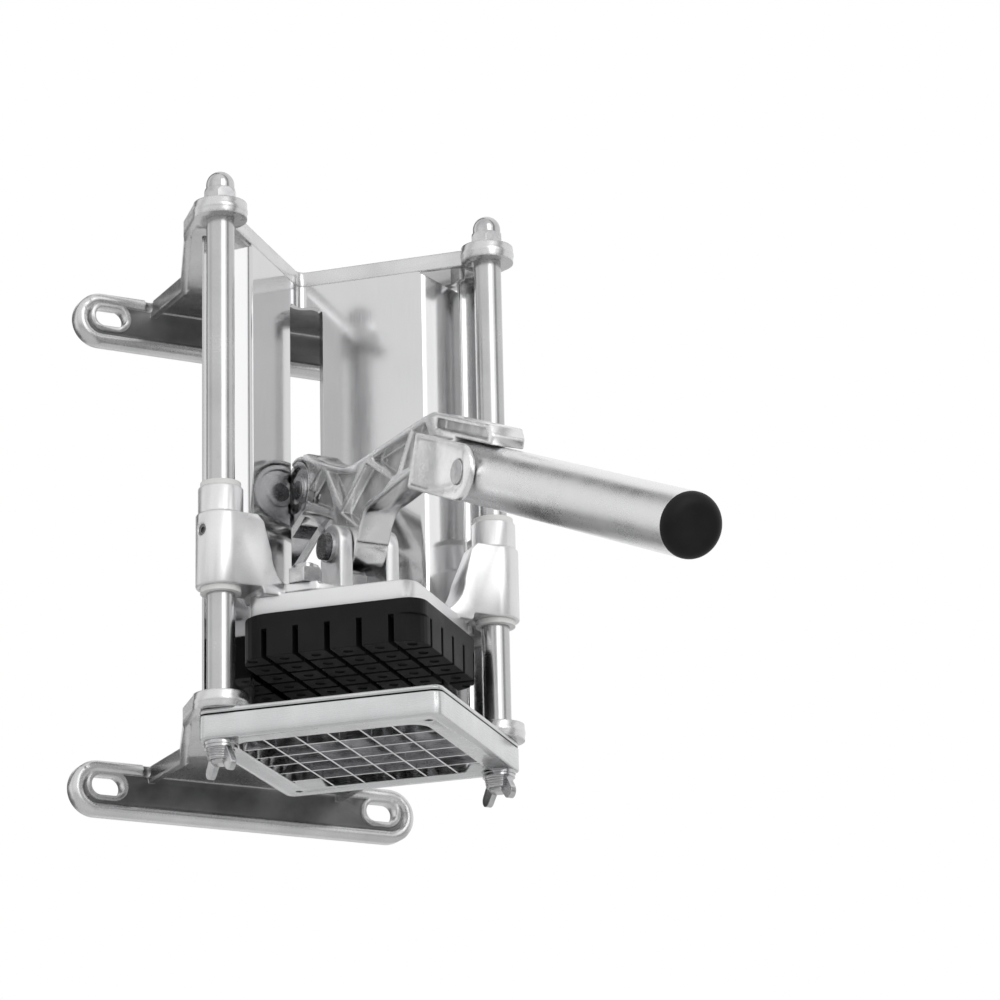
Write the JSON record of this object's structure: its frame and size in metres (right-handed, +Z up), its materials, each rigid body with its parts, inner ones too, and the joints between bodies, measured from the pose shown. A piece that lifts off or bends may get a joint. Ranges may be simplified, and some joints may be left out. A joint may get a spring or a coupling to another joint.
{
  "type": "wall-mounted french fry cutter",
  "caption": "Wall-mounted lever press that pushes a potato down a V trough and through a square blade grid to cut it into fries.",
  "frame": {"origin": "on the wall plane, in the middle of the four wall slots", "axes": "+X to the right along the wall, +Y into the wall, +Z up, parallel to the guide rods"},
  "size_m": [0.165, 0.4157, 0.2666],
  "materials": {
    "casting": "cast aluminium, satin faces with polished rims",
    "lever_casting": "polished cast aluminium with rough pockets",
    "trough_sheet": "polished stainless sheet",
    "steel_sheet": "plain stainless plate",
    "rod_steel": "ground stainless bar and tube",
    "frame_metal": "machined and brushed",
    "blade_steel": "thin polished blades",
    "hardware": "bright plated fasteners",
    "pin_steel": "dark plain steel pins and clips",
    "bush_plastic": "pale bearing plastic",
    "bush_bronze": "plain bronze bush",
    "black_plastic": "moulded black plastic"
  },
  "bodies": {
    "frame": {"top_support": "casting", "bottom_support": "casting", "trough": "trough_sheet", "link_bracket": "steel_sheet", "left_rod": "rod_steel", "right_rod": "rod_steel", "acorn_nuts": "hardware", "blade_clamp_plate": "frame_metal", "blade_frame": "frame_metal", "blades_left_right": "blade_steel", "blades_front_back": "blade_steel", "blade_screws": "hardware", "stud_washers": "hardware", "rear_pin": "pin_steel", "rear_pin_clips": "pin_steel"},
    "carriage": {"carriage": "casting", "slider_bushes": "bush_plastic", "grub_screws": "pin_steel", "pusher_block": "black_plastic", "pusher_studs": "hardware", "pusher_nuts": "hardware", "pivot_pin": "pin_steel", "pivot_washer": "hardware", "pivot_clip": "pin_steel"},
    "lever": {"lever": "lever_casting", "lever_bush": "bush_bronze", "link_pin": "pin_steel", "handle_tube": "rod_steel", "handle_end_cap": "black_plastic", "handle_cross_pin": "hardware"},
    "links": {"left_link": "steel_sheet", "right_link": "steel_sheet", "link_spacer": "pin_steel"},
    "left_wing_nut": {"left_wing_nut": "hardware"},
    "right_wing_nut": {"right_wing_nut": "hardware"}
  },
  "joints": [
    {"name": "carriage_slide", "type": "slide", "parent": "frame", "child": "carriage", "axis": [0, 0, 1], "range_m": [-0.039, 0.08]},
    {"name": "lever_pivot", "type": "hinge", "parent": "carriage", "child": "lever", "pos_m": [0, -0.127, -0.029], "axis": [1, 0, 0], "range_deg": [-41.9, 20.5]},
    {"name": "link_pivot", "type": "hinge", "parent": "lever", "child": "links", "pos_m": [0, -0.079, 0.012], "axis": [1, 0, 0], "range_deg": [-5.6, 2.9]},
    {"name": "left_wing_nut_turn", "type": "hinge", "parent": "frame", "child": "left_wing_nut", "pos_m": [-0.064, -0.127, -0.125], "axis": [0, 0, 1], "continuous": true},
    {"name": "right_wing_nut_turn", "type": "hinge", "parent": "frame", "child": "right_wing_nut", "pos_m": [0.064, -0.127, -0.125], "axis": [0, 0, 1], "continuous": true}
  ],
  "couplings": [
    {"joint": "lever_pivot", "follows": "carriage_slide", "rad_per_m": -9.076},
    {"joint": "link_pivot", "follows": "carriage_slide", "rad_per_m": -1.187}
  ]
}
